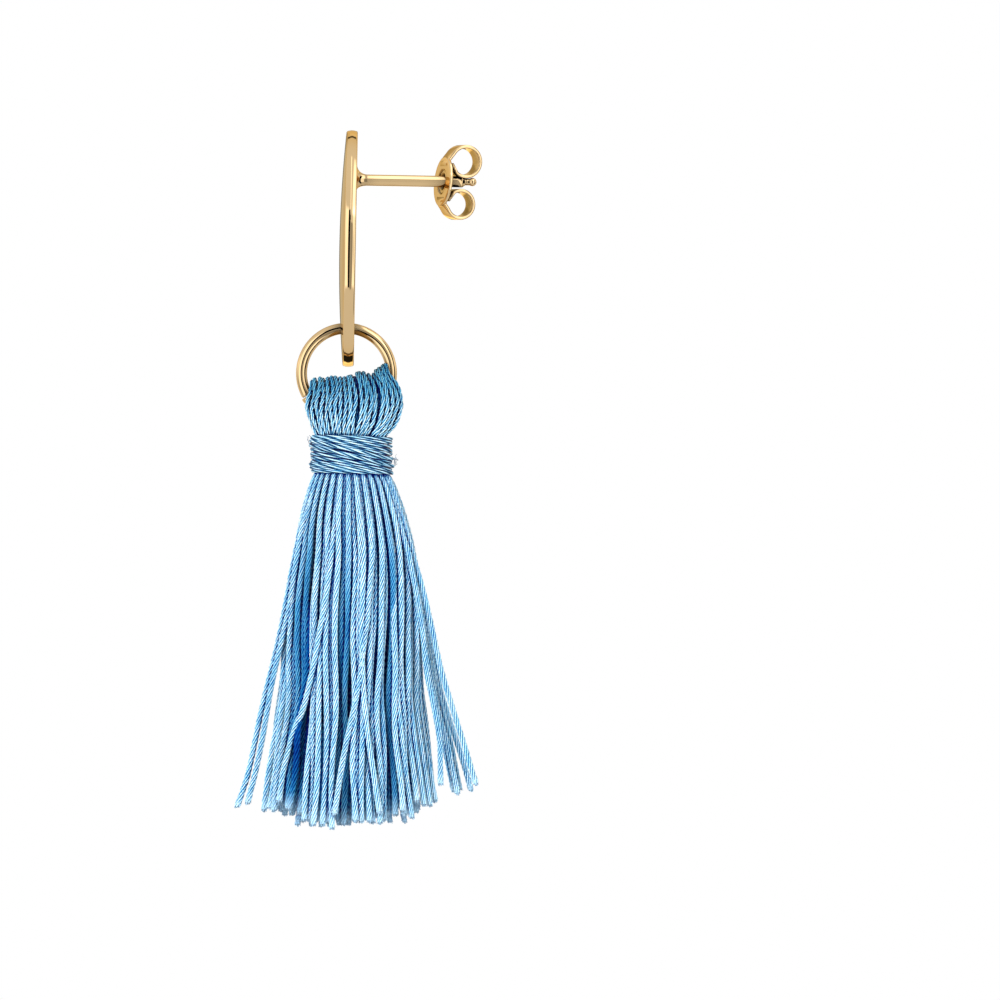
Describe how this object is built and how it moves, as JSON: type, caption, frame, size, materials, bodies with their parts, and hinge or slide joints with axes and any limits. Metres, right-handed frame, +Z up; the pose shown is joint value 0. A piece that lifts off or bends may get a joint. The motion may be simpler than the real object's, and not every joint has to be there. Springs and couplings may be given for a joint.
{
  "type": "tassel earring",
  "caption": "Drop earring for a pierced ear: domed gold disc on a post with a butterfly nut, a jump ring and a blue thread tassel.",
  "frame": {"origin": "on the post's axis at the disc's back face, where the ear lobe sits", "axes": "+Y along the post into the ear, towards the nut; the disc's front faces -Y; +Z up, the tassel hangs along -Z; +X to the disc's side"},
  "size_m": [0.0194, 0.02, 0.057],
  "materials": {
    "yellow_gold": "polished gold plate",
    "tassel_thread": "twisted viscose thread with a soft shine",
    "wrap_thread": "fine twisted thread wound tight"
  },
  "bodies": {
    "stud": {"disc_and_post": "yellow_gold"},
    "nut": {"butterfly_nut": "yellow_gold"},
    "ring": {"jump_ring": "yellow_gold"},
    "tassel": {"tassel_head": "tassel_thread", "neck_wrap": "wrap_thread", "tassel_skirt": "tassel_thread"}
  },
  "joints": [
    {"name": "nut_slide", "type": "slide", "parent": "stud", "child": "nut", "axis": [0, 1, 0], "range_m": [-0.005, 0.012]},
    {"name": "ring_swing", "type": "hinge", "parent": "stud", "child": "ring", "pos_m": [0, -0.00058, -0.0122], "axis": [0, 1, 0], "range_deg": [-28, 28]},
    {"name": "tassel_swing", "type": "hinge", "parent": "ring", "child": "tassel", "pos_m": [0, -0.00058, -0.0159], "axis": [1, 0, 0], "range_deg": [-20, 20]}
  ]
}
